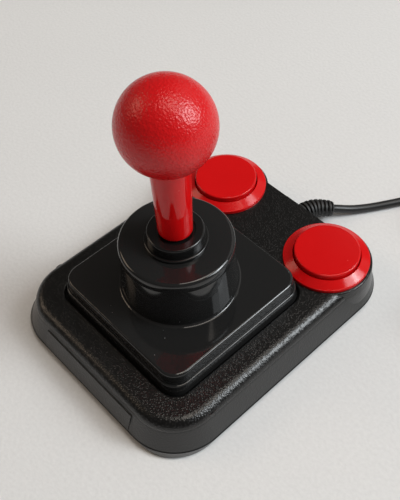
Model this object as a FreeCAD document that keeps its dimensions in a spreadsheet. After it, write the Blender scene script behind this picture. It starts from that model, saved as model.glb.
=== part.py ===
# Joystick controller: a ball-top stick in a collared housing on a low case with two push buttons.
# +X is the player's right, +Y points away from the player and +Z up. Lengths are in millimetres.
import FreeCAD, Part
import math
import os
import types

import Sketcher

# Driving sizes
SIZES = {
    # case
    "case_width": 94.0,
    "case_depth": 117.0,
    "case_top": 15.6,
    "foot_height": 0.8,
    "foot_radius": 5.0,
    "plate_thickness": 2.0,
    "plate_inset": 0.5,
    "plate_edge": 0.4,
    "cover_corner": 17.2,
    "shell_wall": 2.2,
    "front_corner": 20.3,
    "back_setback": 3.3,
    "skirt_inset": 3.5,
    "shoulder_radius": 3.9,
    "shoulder_land": 0.1,
    "lobe_margin": 1.0,
    "lobe_draft": 1.3,
    "lobe_step": 0.9,
    "lobe_edge": 0.6,
    "panel_width": 48.0,
    "panel_height": 7.0,
    "panel_lift": 0.6,
    "panel_rise": 0.5,
    # stick housing
    "front_margin": 15.1,
    "side_margin": 14.6,
    "opening_gap": 0.25,
    "opening_edge": 0.9,
    "flange_reach": 1.5,
    "flange_thickness": 2.5,
    "flange_corner": 5.0,
    "block_draft": 0.7,
    "step_rise": 3.4,
    "step_width": 0.6,
    "step_edge": 0.5,
    "plate_draft": 0.2,
    "plate_rise": 5.2,
    "plate_corner": 6.7,
    "block_wall": 2.4,
    "collar_foot_radius": 21.4,
    "collar_draft": 1.6,
    "collar_height": 19.1,
    "collar_wall": 2.6,
    "collar_fillet": 1.0,
    "cap_overhang": 0.15,
    "cap_thickness": 2.7,
    "cap_edge": 1.1,
    "spigot_depth": 1.7,
    "spigot_wall": 1.5,
    "snug_gap": 0.05,
    # stick
    "grommet_foot_radius": 11.0,
    "grommet_draft": 1.1,
    "grommet_waist": 0.7,
    "grommet_ring": 0.25,
    "grommet_ring_height": 1.1,
    "grommet_groove": 1.55,
    "grommet_rise": 5.0,
    "grommet_flange": 2.4,
    "mouth_gap": 1.0,
    "mouth_depth": 0.6,
    "tilt_limit": 8.0,
    "ball_radius": 15.55,
    "ball_rise": 12.1,
    "sleeve_gap": 0.95,
    "sleeve_foot_radius": 6.0,
    "sleeve_taper": 0.75,
    "sleeve_length": 33.15,
    "sleeve_edge": 0.5,
    "shaft_radius": 4.0,
    "shaft_short": 4.6,
    "shaft_tail": 2.3,
    "neck_step": 1.0,
    "washer_radius": 9.0,
    "washer_thickness": 1.0,
    "clip_thickness": 0.8,
    "clip_reach": 2.4,
    "clip_groove": 0.7,
    "bush_radius": 6.0,
    "bush_drop": 0.3,
    "bush_length": 7.0,
    # switches
    "carrier_drop": 1.6,
    "carrier_thickness": 2.2,
    "carrier_gap": 0.3,
    "gate_gap": 0.3,
    "gate_corner": 4.0,
    "boss_radius": 3.0,
    "boss_setback": 4.7,
    "switch_length": 19.8,
    "switch_depth": 9.6,
    "switch_height": 6.4,
    "switch_gap": 0.35,
    "switch_hole_radius": 1.15,
    "switch_hole_pitch": 9.5,
    "switch_hole_setback": 6.8,
    "peg_gap": 0.1,
    "plunger_length": 1.1,
    "plunger_width": 3.0,
    "plunger_height": 2.0,
    "terminal_length": 1.3,
    "terminal_width": 2.0,
    "terminal_thickness": 0.5,
    "terminal_pitch": 7.0,
    # push buttons
    "bezel_flange": 2.6,
    "bezel_clear": 0.9,
    "bezel_rim": 1.4,
    "bezel_rise": 3.1,
    "bezel_lip": 0.35,
    "barrel_wall": 1.1,
    "barrel_depth": 5.8,
    "barrel_floor": 1.5,
    "nut_wall": 1.3,
    "nut_height": 2.2,
    "nut_gap": 0.4,
    "button_radius": 12.5,
    "button_gap": 0.3,
    "button_proud": 1.9,
    "button_edge": 0.6,
    "button_wall": 1.6,
    "button_crown": 2.2,
    "button_travel": 1.8,
    "stem_radius": 3.0,
    "stem_tail": 2.6,
    "stem_gap": 0.1,
    "spring_radius": 6.5,
    "spring_wire": 0.8,
    "spring_turns": 3.5,
    # leaf contacts
    "leaf_thickness": 0.3,
    "leaf_width": 5.0,
    "leaf_gap": 0.3,
    "leaf_spacing": 2.3,
    "leaf_past_stem": 3.5,
    "leaf_tab": 3.0,
    "rivet_radius": 1.2,
    "rivet_height": 0.4,
    "block_inner": 8.0,
    "block_length": 7.0,
    "block_width": 7.0,
    "block_over": 1.5,
    # fasteners
    "case_screw_side": 6.8,
    "case_screw_front": 22.5,
    "case_screw_half": 8.0,
    "case_screw_behind": 8.2,
    "case_post_radius": 3.4,
    "screw_radius": 1.25,
    "screw_gap": 0.25,
    "screw_length": 8.0,
    "head_radius": 2.6,
    "head_height": 1.2,
    "foot_side": 13.0,
    "foot_front": 14.5,
    "foot_back": 18.5,
    # lead
    "cord_radius": 1.75,
    "cord_height": 7.0,
    "exit_half": 6.5,
    "exit_setback": 5.1,
    "exit_depth": 5.6,
    "exit_recess": 0.2,
    "exit_hole": 3.2,
    "boot_lip": 0.8,
    "boot_lip_thickness": 1.5,
    "boot_foot_radius": 3.8,
    "boot_tip_radius": 2.5,
    "boot_rib_width": 0.95,
    "coil_radius": 19.25,
    "coil_section": 6.2,
    "tie_thickness": 0.8,
    "tie_width": 5.0,
    "hood_length": 38.0,
    "hood_width": 31.0,
    "hood_height": 15.0,
    "hood_edge": 2.5,
    "hood_waist": 5.5,
    "hood_slope": 1.8,
    "hood_taper": 9.0,
    "hood_round": 1.2,
    "grip_width": 1.3,
    "grip_pitch": 2.6,
    "grip_depth": 0.9,
    "hood_neck_length": 8.0,
    "hood_neck_radius": 4.5,
    "dee_width": 16.9,
    "dee_height": 8.3,
    "dee_length": 5.8,
    "dee_slope": 1.4,
    "dee_wall": 0.5,
    "socket_radius": 0.55,
    "socket_pitch": 2.77,
    "socket_row": 2.84,
    "socket_depth": 4.5,
}

doc = FreeCAD.newDocument("joystick")
sheet = doc.addObject("Spreadsheet::Sheet", "Sizes")
for row, (alias, amount) in enumerate(SIZES.items(), 1):
    sheet.set(f"A{row}", alias)
    sheet.set(f"B{row}", str(amount))
    sheet.setAlias(f"B{row}", alias)
doc.recompute()

vec = FreeCAD.Vector
UP = vec(0, 0, 1)
pieces = []


class Size:
    """A size that keeps its number and the expression that binds it to the sheet."""

    def __init__(self, text, value):
        self.text = text
        self.value = value

    def join(self, sign, other, value):
        return Size(f"({self.text} {sign} {words(other)})", value)

    def __add__(self, other):
        return self.join("+", other, self.value + number(other))

    def __radd__(self, other):
        return self + other

    def __sub__(self, other):
        return self.join("-", other, self.value - number(other))

    def __rsub__(self, other):
        return -self + other

    def __mul__(self, other):
        return self.join("*", other, self.value * number(other))

    def __truediv__(self, other):
        return self.join("/", other, self.value / number(other))

    def __neg__(self):
        return Size(f"(-1 * {self.text})", -self.value)


def number(amount):
    return amount.value if isinstance(amount, Size) else float(amount)


def words(amount):
    return amount.text if isinstance(amount, Size) else f"({float(amount)})"


def root(amount):
    return Size(f"sqrt({amount.text})", math.sqrt(amount.value))


def tangent(degrees):
    return Size(f"tan({degrees.text} * 1 deg)", math.tan(math.radians(degrees.value)))


def bind(thing, path, amount):
    """Ties a property of a document object to the sheet."""
    if isinstance(amount, Size):
        thing.setExpression(path, amount.text)
    elif amount:
        thing.setExpression(path, str(float(amount)))


def place(thing, x=0, y=0, z=0):
    for axis, amount in zip("xyz", (x, y, z)):
        bind(thing, f"Placement.Base.{axis}", amount)
    return thing


def keep(thing, label):
    """Counts a finished object as a sub-part, and names it."""
    thing.Label = label
    pieces.append(thing)
    return thing


size = types.SimpleNamespace(**{name: Size(f"Sizes.{name}", sheet.get(name)) for name in SIZES})

# Places that follow from the driving sizes
case_side = size.case_width / 2
case_front = -size.case_depth / 2
case_back = size.case_depth / 2
shell_foot = size.foot_height + size.plate_thickness
ceiling = size.case_top - size.shell_wall
skirt_crest = size.case_top - size.shoulder_radius - size.shoulder_land
back_wall = case_back - size.back_setback

# Each ring of a push button stands outside the one before it, and the lobe outside them all
barrel_bore = size.button_radius + size.button_gap
barrel_radius = barrel_bore + size.barrel_wall
nut_radius = barrel_radius + size.nut_wall
bezel_radius = barrel_radius + size.bezel_flange
lobe_top_radius = bezel_radius + size.lobe_margin
lobe_foot_radius = lobe_top_radius + size.lobe_draft
lobe_radius = lobe_foot_radius + size.lobe_step
button_x = case_side - lobe_radius
button_y = case_back - lobe_radius
barrel_foot = size.case_top - size.barrel_depth
barrel_floor_top = barrel_foot + size.barrel_floor
bezel_crest = size.case_top + size.bezel_rise
button_top = bezel_crest + size.button_proud
stem_foot = barrel_foot - size.stem_tail

# The stick housing fills the room between the case's margins and the bezels
block_half_x = case_side - size.side_margin
block_front = case_front + size.front_margin
block_back = button_y - bezel_radius - size.bezel_clear
block_half_y = (block_back - block_front) / 2
stick_y = (block_front + block_back) / 2
block_halves = (block_half_x, block_half_y)
step_halves = tuple(half - size.block_draft for half in block_halves)
room_halves = tuple(half - size.block_wall for half in step_halves)
room_corner = size.plate_corner - size.block_wall
boss_place = tuple(half - size.boss_setback for half in room_halves)
flange_halves = tuple(half + size.flange_reach for half in block_halves)
flange_foot = ceiling - size.flange_thickness
step_top = size.case_top + size.step_rise
plate_top = step_top + size.plate_rise
block_ceiling = plate_top - size.block_wall
collar_top = plate_top + size.collar_height
collar_top_radius = size.collar_foot_radius - size.collar_draft
collar_bore = collar_top_radius - size.collar_wall
cap_top = collar_top + size.cap_thickness
cap_hole = size.grommet_foot_radius - size.grommet_groove

# The stick stands in the grommet and tilts about its middle
grommet_top = cap_top + size.grommet_rise
grommet_foot = collar_top - size.grommet_flange
mouth_floor = grommet_top - size.mouth_depth
pivot_height = cap_top + size.grommet_rise / 2
washer_foot = grommet_foot - size.washer_thickness
sleeve_foot = mouth_floor + size.sleeve_gap
sleeve_top = sleeve_foot + size.sleeve_length
sleeve_top_radius = size.sleeve_foot_radius + size.sleeve_taper
ball_centre = sleeve_top + size.ball_rise
shaft_top = ball_centre - size.shaft_short
neck_radius = size.shaft_radius - size.neck_step
carrier_top = ceiling - size.carrier_drop
bush_foot = carrier_top - size.bush_drop
bush_top = bush_foot + size.bush_length
shaft_foot = bush_foot - size.shaft_tail

# The bush swings about the pivot, and gate and switches stand clear of it at the tilt limit
tilt = tangent(size.tilt_limit)
gate_half = size.bush_radius + (pivot_height - bush_foot) * tilt + size.gate_gap
switch_middle = carrier_top + size.switch_height / 2
plunger_foot = switch_middle - size.plunger_height / 2
plunger_tip = size.bush_radius + (pivot_height - plunger_foot) * tilt + size.switch_gap
switch_front = plunger_tip + size.plunger_length

# The lead leaves through a block behind the back wall
exit_face = case_back - size.exit_setback
exit_inner = exit_face - size.exit_depth


# Sketches and features
def origin_plane(body, role):
    return next(plane for plane in body.Origin.OriginFeatures if plane.Role == role)


def fix(profile, kind, geometry, point, value):
    """Holds one coordinate of a sketch point at a size measured from the sketch's origin."""
    if number(value) == 0:
        line = -2 if kind == "DistanceX" else -1
        profile.addConstraint(Sketcher.Constraint("PointOnObject", geometry, point, line))
        return
    rule = Sketcher.Constraint(kind, -1, 1, geometry, point, number(value))
    bind(profile, f"Constraints[{profile.addConstraint(rule)}]", value)


def arc_between(start, finish, radius, turn):
    """The shorter arc from start to finish: turn is 1 anticlockwise and -1 clockwise."""
    chord = finish - start
    left = vec(-chord.y, chord.x, 0).normalize()
    rise = math.sqrt(max(radius**2 - chord.Length**2 / 4, 0))
    centre = (start + finish) * 0.5 + left * (rise * turn)
    first, last = (start, finish) if turn > 0 else (finish, start)
    angles = [math.atan2(point.y - centre.y, point.x - centre.x) for point in (first, last)]
    if angles[1] < angles[0]:
        angles[1] += 2 * math.pi
    return Part.ArcOfCircle(Part.Circle(centre, UP, radius), *angles)


def draw(profile, points, arcs=None):
    """Draws a closed outline; arcs gives some sides, by the index of their start, a radius and a turn."""
    corners = [vec(number(x), number(y), 0) for x, y in points]
    ends = []
    for index, start in enumerate(corners):
        finish = corners[(index + 1) % len(corners)]
        if arcs and index in arcs:
            radius, turn = arcs[index]
            side = profile.addGeometry(arc_between(start, finish, number(radius), turn))
            rule = Sketcher.Constraint("Radius", side, number(radius))
            bind(profile, f"Constraints[{profile.addConstraint(rule)}]", radius)
            ends.append((side, 1, 2) if turn > 0 else (side, 2, 1))
        else:
            side = profile.addGeometry(Part.LineSegment(start, finish))
            ends.append((side, 1, 2))
    for index, (side, first, last) in enumerate(ends):
        following = ends[(index + 1) % len(ends)]
        profile.addConstraint(Sketcher.Constraint("Coincident", side, last, following[0], following[1]))
        fix(profile, "DistanceX", side, first, points[index][0])
        fix(profile, "DistanceY", side, first, points[index][1])


def circle(profile, x, y, radius):
    side = profile.addGeometry(Part.Circle(vec(number(x), number(y), 0), UP, number(radius)))
    rule = Sketcher.Constraint("Radius", side, number(radius))
    bind(profile, f"Constraints[{profile.addConstraint(rule)}]", radius)
    fix(profile, "DistanceX", side, 3, x)
    fix(profile, "DistanceY", side, 3, y)


def sketch(body, name, plane="XY_Plane", shift=(0, 0, 0)):
    profile = body.newObject("Sketcher::SketchObject", name)
    profile.AttachmentSupport = [(origin_plane(body, plane), "")]
    profile.MapMode = "FlatFace"
    for axis, value in zip("xyz", shift):
        bind(profile, f"AttachmentOffset.Base.{axis}", value)
    return profile


def outline_sketch(body, name, shape, height=0, plane="XY_Plane"):
    profile = sketch(body, name, plane, (0, 0, height))
    draw(profile, *shape)
    return profile


def circles_sketch(body, name, centres, radius, height=0, plane="XY_Plane"):
    profile = sketch(body, name, plane, (0, 0, height))
    for x, y in centres:
        circle(profile, x, y, radius)
    return profile


def feature(body, kind, name, profile):
    made = body.newObject(f"PartDesign::{kind}", name)
    made.Profile = profile
    return made


def pad(body, name, profile, length):
    made = feature(body, "Pad", name, profile)
    bind(made, "Length", length)
    return made


def pocket(body, name, profile, depth, up=True):
    """Cuts from the sketch along its own normal, or against it, and checks that something was cut."""
    doc.recompute()
    before = body.Shape.Volume
    made = feature(body, "Pocket", name, profile)
    bind(made, "Length", depth)
    made.Reversed = up
    doc.recompute()
    if body.Shape.Volume > before - 1e-6:
        raise ValueError(f"{body.Label}: {name} cuts nothing")
    return made


def loft(body, name, first, second, kind="AdditiveLoft"):
    made = feature(body, kind, name, first)
    made.Sections = [second]
    made.Ruled = True
    return made


def revolve(body, name, profile, kind="Revolution"):
    made = feature(body, kind, name, profile)
    made.ReferenceAxis = (profile, ["V_Axis"])
    made.Angle = 360
    return made


def dress(body, kind, name, base, path, amount, wanted):
    """Rounds or bevels the edges of a feature that wanted picks."""
    doc.recompute()
    edges = [f"Edge{index}" for index, edge in enumerate(base.Shape.Edges, 1) if wanted(edge)]
    made = body.newObject(f"PartDesign::{kind}", name)
    made.Base = (base, edges)
    bind(made, path, amount)
    return made


def at_height(height):
    def test(edge):
        return all(abs(corner.Z - number(height)) < 1e-4 for corner in edge.Vertexes)
    return test


def within(half_x, near, far):
    """Picks the edges inside a rectangle seen from above."""
    def test(edge):
        extent = edge.BoundBox
        inside_x = extent.XMin > -number(half_x) and extent.XMax < number(half_x)
        return inside_x and extent.YMin > number(near) and extent.YMax < number(far)
    return test


def ring_at(radius, height):
    """Picks the circle of one radius and height about the body's own axis."""
    def test(edge):
        corner = edge.Vertexes[0]
        near = abs(math.hypot(corner.X, corner.Y) - number(radius)) < 1e-3
        return near and len(edge.Vertexes) == 1 and abs(corner.Z - number(height)) < 1e-3
    return test


def new_body(label, x=0, y=0, z=0):
    body = doc.addObject("PartDesign::Body", label)
    place(body, x, y, z)
    return keep(body, label)


def turned(label, points, arcs=None, x=0, y=0):
    """A body turned about its own Z axis from a half section of (radius, height) points."""
    body = new_body(label, x, y)
    profile = sketch(body, f"{label}_section", "XZ_Plane")
    draw(profile, points, arcs)
    revolve(body, f"{label}_turning", profile)
    return body


# Primitives and booleans
def cylinder(name, radius, height, x=0, y=0, z=0):
    made = doc.addObject("Part::Cylinder", name)
    bind(made, "Radius", radius)
    bind(made, "Height", height)
    return place(made, x, y, z)


def box(name, length, width, height, x=0, y=0, z=0):
    made = doc.addObject("Part::Box", name)
    bind(made, "Length", length)
    bind(made, "Width", width)
    bind(made, "Height", height)
    return place(made, x, y, z)


def cut(name, base, tool):
    made = doc.addObject("Part::Cut", name)
    made.Base = base
    made.Tool = tool
    return made


def fuse(name, shapes):
    made = doc.addObject("Part::MultiFuse", name)
    made.Shapes = shapes
    return made


def group(label, solids):
    """Several equal solids that share one node."""
    made = doc.addObject("Part::Compound", label)
    made.Links = solids
    return keep(made, label)


# Outlines
def case_outline(inset, front_corner=size.front_corner):
    """The case seen from above: rounded front corners and two round lobes at the back."""
    half = case_side - inset
    near = case_front + inset
    far = back_wall - inset
    corner = front_corner - inset
    lobe = lobe_radius - inset
    waist = button_x - root(lobe * lobe - (far - button_y) * (far - button_y))
    points = [
        (corner - half, near),
        (half - corner, near),
        (half, near + corner),
        (half, button_y),
        (waist, far),
        (-waist, far),
        (-half, button_y),
        (-half, near + corner),
    ]
    return points, {1: (corner, 1), 3: (lobe, 1), 5: (lobe, 1), 7: (corner, 1)}


def crown_outline(inset):
    """The case above the skirt, stepped in behind the two lobes."""
    half = case_side - inset
    near = case_front + inset
    far = back_wall - inset
    corner = size.front_corner - inset
    points = [
        (corner - half, near),
        (half - corner, near),
        (half, near + corner),
        (half, button_y),
        (button_x, button_y),
        (button_x, far),
        (-button_x, far),
        (-button_x, button_y),
        (-half, button_y),
        (-half, near + corner),
    ]
    return points, {1: (corner, 1), 9: (corner, 1)}


def rounded_rectangle(half_x, half_y, corner, y=0):
    """A rectangle with round corners, its centre on the sketch's Y axis."""
    points = [
        (corner - half_x, y - half_y),
        (half_x - corner, y - half_y),
        (half_x, y - half_y + corner),
        (half_x, y + half_y - corner),
        (half_x - corner, y + half_y),
        (corner - half_x, y + half_y),
        (-half_x, y + half_y - corner),
        (-half_x, y - half_y + corner),
    ]
    return points, {1: (corner, 1), 3: (corner, 1), 5: (corner, 1), 7: (corner, 1)}


def four(x, y):
    """The four places of a pattern about the body's axis."""
    return [(x, y), (-x, y), (-x, -y), (x, -y)]


def pair(x, y):
    """The same place on the right and on the left."""
    return [(x, y), (-x, y)]


case_screw_places = pair(case_side - size.case_screw_side, case_front + size.case_screw_front)
case_screw_places += pair(size.case_screw_half, button_y + size.case_screw_behind)
foot_places = pair(case_side - size.foot_side, case_front + size.foot_front)
foot_places += pair(case_side - size.foot_side, case_back - size.foot_back)
button_places = pair(button_x, button_y)


# Case
def make_top_shell():
    body = new_body("top_shell")
    foot = outline_sketch(body, "skirt_foot", case_outline(0), shell_foot)
    crest = outline_sketch(body, "skirt_crest_line", case_outline(size.skirt_inset), skirt_crest)
    loft(body, "skirt", foot, crest)
    crown = outline_sketch(body, "crown_line", crown_outline(size.skirt_inset), skirt_crest)
    raised = pad(body, "crown", crown, size.case_top - skirt_crest)
    on_top = at_height(size.case_top)
    dress(body, "Fillet", "shoulder", raised, "Radius", size.shoulder_radius,
          lambda edge: on_top(edge) and edge.CenterOfMass.y < number(button_y) - number(size.lobe_edge))
    for name, (x, y) in zip(("right", "left"), button_places):
        section = sketch(body, f"lobe_{name}_section", "XZ_Plane", (x, 0, -y))
        draw(section, [
            (0, shell_foot),
            (lobe_foot_radius, shell_foot),
            (lobe_top_radius, size.case_top - size.lobe_edge),
            (lobe_top_radius - size.lobe_edge, size.case_top),
            (0, size.case_top),
        ], {2: (size.lobe_edge, 1)})
        revolve(body, f"lobe_{name}", section)
    cavity_inset = size.skirt_inset + size.shell_wall
    low = outline_sketch(body, "cavity_foot", case_outline(size.shell_wall), shell_foot)
    high = outline_sketch(body, "cavity_top", case_outline(cavity_inset), ceiling)
    loft(body, "cavity", low, high, "SubtractiveLoft")
    depth = ceiling - shell_foot
    through = size.shell_wall * 3
    hole = barrel_radius + size.snug_gap
    pocket(body, "button_holes",
           circles_sketch(body, "button_hole_lines", button_places, hole, ceiling - size.shell_wall), through)
    opening = rounded_rectangle(block_half_x + size.opening_gap, block_half_y + size.opening_gap,
                                size.plate_corner + size.opening_gap, stick_y)
    window = pocket(body, "opening",
                    outline_sketch(body, "opening_line", opening, ceiling - size.shell_wall), through)
    edge_room = size.opening_edge
    beside = within(block_half_x + edge_room, block_front - edge_room, block_back + edge_room)
    dress(body, "Fillet", "opening_rim", window, "Radius", size.opening_edge,
          lambda edge: on_top(edge) and beside(edge))
    pad(body, "screw_posts",
        circles_sketch(body, "post_lines", case_screw_places, size.case_post_radius, shell_foot), depth)
    nut_room = nut_radius + size.nut_gap
    pocket(body, "lobe_cavities",
           circles_sketch(body, "lobe_cavity_lines", button_places, nut_room, shell_foot), depth)
    slope = size.skirt_inset / (skirt_crest - shell_foot)
    wall_low = case_front + slope * size.panel_lift
    wall_high = wall_low + slope * size.panel_height
    panel_foot = shell_foot + size.panel_lift
    panel_section = [
        (wall_low - size.panel_rise / 4, panel_foot),
        (wall_low + size.shell_wall / 2, panel_foot),
        (wall_high + size.shell_wall / 2, panel_foot + size.panel_height),
        (wall_high - size.panel_rise, panel_foot + size.panel_height),
    ]
    pad(body, "front_panel",
        outline_sketch(body, "panel_line", (panel_section, None), -size.panel_width / 2, "YZ_Plane"),
        size.panel_width)
    middle = (exit_inner + exit_face) / 2
    block = rounded_rectangle(size.exit_half, size.exit_depth / 2, size.plate_edge, middle)
    pad(body, "exit_block", outline_sketch(body, "exit_block_line", block, shell_foot), depth)
    pilot = size.screw_radius - size.snug_gap
    pocket(body, "pilot_holes",
           circles_sketch(body, "pilot_lines", case_screw_places, pilot, shell_foot), size.screw_length)
    mouth = circles_sketch(body, "exit_line", [(0, size.cord_height)], size.exit_hole,
                           -(exit_inner - size.shell_wall), "XZ_Plane")
    pocket(body, "exit_hole", mouth, size.exit_depth + size.shell_wall * 2, up=False)
    recess_radius = size.boot_foot_radius + size.exit_recess
    recess = circles_sketch(body, "recess_line", [(0, size.cord_height)], recess_radius,
                            -exit_face, "XZ_Plane")
    pocket(body, "exit_recess", recess, size.exit_depth, up=False)


def make_base_plate():
    body = new_body("base_plate")
    line = case_outline(size.plate_inset, size.cover_corner + size.plate_inset)
    slab = pad(body, "slab", outline_sketch(body, "slab_line", line, size.foot_height), size.plate_thickness)
    bevel = dress(body, "Chamfer", "upper_edge", slab, "Size", size.plate_edge, at_height(shell_foot))
    dress(body, "Fillet", "lower_edge", bevel, "Radius", size.plate_edge, at_height(size.foot_height))
    corners = four(*(half - size.case_post_radius for half in flange_halves))
    posts = [(x, stick_y + y) for x, y in corners]
    pad(body, "clamp_posts", circles_sketch(body, "clamp_lines", posts, size.case_post_radius, shell_foot),
        flange_foot - shell_foot)
    clear = size.screw_radius + size.screw_gap
    pocket(body, "screw_holes",
           circles_sketch(body, "screw_hole_lines", case_screw_places, clear, size.foot_height),
           size.plate_thickness)
    seat = size.head_radius + size.screw_gap
    pocket(body, "screw_seats",
           circles_sketch(body, "screw_seat_lines", case_screw_places, seat, size.foot_height),
           size.head_height)


def make_rubber_feet():
    group("rubber_feet", [cylinder("foot", size.foot_radius, size.foot_height, x, y) for x, y in foot_places])


# Stick housing
def make_stick_housing():
    body = new_body("stick_housing", 0, stick_y)
    flange = rounded_rectangle(*flange_halves, size.flange_corner)
    pad(body, "flange", outline_sketch(body, "flange_line", flange, flange_foot), size.flange_thickness)
    lower = outline_sketch(body, "block_foot", rounded_rectangle(*block_halves, size.plate_corner), ceiling)
    upper = outline_sketch(body, "block_step", rounded_rectangle(*step_halves, size.plate_corner), step_top)
    step = loft(body, "block", lower, upper)
    dress(body, "Fillet", "step_edge", step, "Radius", size.step_edge, at_height(step_top))
    foot_halves = [half - size.step_width for half in step_halves]
    top_halves = [half - size.plate_draft for half in foot_halves]
    low = outline_sketch(body, "plate_foot", rounded_rectangle(*foot_halves, size.plate_corner), step_top)
    high = outline_sketch(body, "plate_line", rounded_rectangle(*top_halves, size.plate_corner), plate_top)
    plate = loft(body, "plate", low, high)
    dress(body, "Fillet", "plate_edge", plate, "Radius", size.collar_fillet, at_height(plate_top))
    section = sketch(body, "collar_section", "XZ_Plane")
    draw(section, [
        (0, block_ceiling),
        (size.collar_foot_radius, block_ceiling),
        (size.collar_foot_radius, plate_top),
        (collar_top_radius, collar_top),
        (0, collar_top),
    ])
    collar = revolve(body, "collar", section)
    dress(body, "Fillet", "collar_root", collar, "Radius", size.collar_fillet,
          ring_at(size.collar_foot_radius, plate_top))
    inside = rounded_rectangle(*room_halves, room_corner)
    pocket(body, "switch_room",
           outline_sketch(body, "room_line", inside, flange_foot), block_ceiling - flange_foot)
    pocket(body, "collar_bore",
           circles_sketch(body, "collar_bore_line", [(0, 0)], collar_bore, block_ceiling),
           collar_top - block_ceiling)
    bosses = four(*boss_place)
    pad(body, "carrier_bosses",
        circles_sketch(body, "boss_lines", bosses, size.boss_radius, carrier_top),
        block_ceiling - carrier_top)
    pocket(body, "boss_holes",
           circles_sketch(body, "boss_hole_lines", bosses, size.screw_radius - size.snug_gap, carrier_top),
           size.screw_length - size.carrier_thickness)


def make_collar_cap():
    spigot_outer = collar_bore - size.snug_gap
    spigot_inner = spigot_outer - size.spigot_wall
    spigot_foot = collar_top - size.spigot_depth
    cap_radius = collar_top_radius + size.cap_overhang
    turned("collar_cap", [
        (cap_hole, collar_top),
        (spigot_inner, collar_top),
        (spigot_inner, spigot_foot),
        (spigot_outer, spigot_foot),
        (spigot_outer, collar_top),
        (cap_radius, collar_top),
        (cap_radius, cap_top - size.cap_edge),
        (cap_radius - size.cap_edge, cap_top),
        (cap_hole, cap_top),
    ], {6: (size.cap_edge, 1)}, 0, stick_y)


# Stick
def make_centring_grommet():
    bore = size.shaft_radius + size.snug_gap
    neck = cap_hole - size.snug_gap
    mouth = size.sleeve_foot_radius + size.mouth_gap
    grommet_top_radius = size.grommet_foot_radius - size.grommet_draft
    ring_radius = size.grommet_foot_radius + size.grommet_ring
    ring_top = cap_top + size.grommet_ring_height
    ring_edge = size.grommet_ring_height / 2
    body = turned("centring_grommet", [
        (bore, grommet_foot),
        (size.grommet_foot_radius, grommet_foot),
        (size.grommet_foot_radius, collar_top),
        (neck, collar_top),
        (neck, cap_top),
        (ring_radius, cap_top),
        (ring_radius, ring_top - ring_edge),
        (ring_radius - ring_edge, ring_top),
        (size.grommet_foot_radius - size.grommet_waist, ring_top),
        (grommet_top_radius, grommet_top),
        (mouth, grommet_top),
        (mouth, mouth_floor),
        (bore, mouth_floor),
    ], {6: (ring_edge, 1)}, 0, stick_y)
    dress(body, "Fillet", "grommet_edge", body.Tip, "Radius", size.lobe_edge,
          ring_at(grommet_top_radius, grommet_top))


def make_stick():
    bore = size.shaft_radius + size.snug_gap
    turned("shaft_sleeve", [
        (bore, sleeve_foot),
        (size.sleeve_foot_radius - size.sleeve_edge, sleeve_foot),
        (size.sleeve_foot_radius, sleeve_foot + size.sleeve_edge),
        (sleeve_top_radius, sleeve_top),
        (bore, sleeve_top),
    ], {1: (size.sleeve_edge, 1)}, 0, stick_y)

    ball = doc.addObject("Part::Sphere", "ball")
    bind(ball, "Radius", size.ball_radius)
    place(ball, 0, stick_y, ball_centre)
    low = ball_centre - size.ball_radius
    socket_radius = sleeve_top_radius + size.snug_gap
    socket = cylinder("ball_socket", socket_radius, sleeve_top - low, 0, stick_y, low)
    hole = cylinder("ball_bore", bore, shaft_top + size.snug_gap - low, 0, stick_y, low)
    keep(cut("ball_knob", ball, fuse("ball_hollow", [socket, hole])), "ball_knob")

    groove_foot = washer_foot - size.clip_thickness
    neck_groove_foot = bush_foot - size.clip_thickness
    turned("steel_shaft", [
        (0, shaft_foot),
        (neck_radius, shaft_foot),
        (neck_radius, neck_groove_foot),
        (neck_radius - size.clip_groove, neck_groove_foot),
        (neck_radius - size.clip_groove, bush_foot),
        (neck_radius, bush_foot),
        (neck_radius, bush_top),
        (size.shaft_radius, bush_top),
        (size.shaft_radius, groove_foot),
        (size.shaft_radius - size.clip_groove, groove_foot),
        (size.shaft_radius - size.clip_groove, washer_foot),
        (size.shaft_radius, washer_foot),
        (size.shaft_radius, shaft_top),
        (0, shaft_top),
    ], None, 0, stick_y)
    turned("shaft_washer", [
        (bore, washer_foot),
        (size.washer_radius, washer_foot),
        (size.washer_radius, grommet_foot),
        (bore, grommet_foot),
    ], None, 0, stick_y)
    make_clip("upper_clip", size.shaft_radius - size.clip_groove, size.shaft_radius, groove_foot, 0, stick_y)
    turned("actuator_bush", [
        (neck_radius + size.snug_gap, bush_foot),
        (size.bush_radius, bush_foot),
        (size.bush_radius, bush_top),
        (neck_radius + size.snug_gap, bush_top),
    ], None, 0, stick_y)
    make_clip("lower_clip", neck_radius - size.clip_groove, neck_radius, neck_groove_foot,
              0, stick_y)


def make_clip(label, groove, shaft, foot, x, y):
    """A flat spring clip in a groove: a ring about it with an open side."""
    ring = cylinder(f"{label}_ring", shaft + size.clip_reach, size.clip_thickness, x, y, foot)
    inner = groove + size.snug_gap
    hole = cylinder(f"{label}_hole", inner, size.clip_thickness, x, y, foot)
    gap = box(f"{label}_gap", (shaft + size.clip_reach) * 2, inner * 2, size.clip_thickness,
              x, y - inner, foot)
    keep(cut(label, ring, fuse(f"{label}_inside", [hole, gap])), label)


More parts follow.
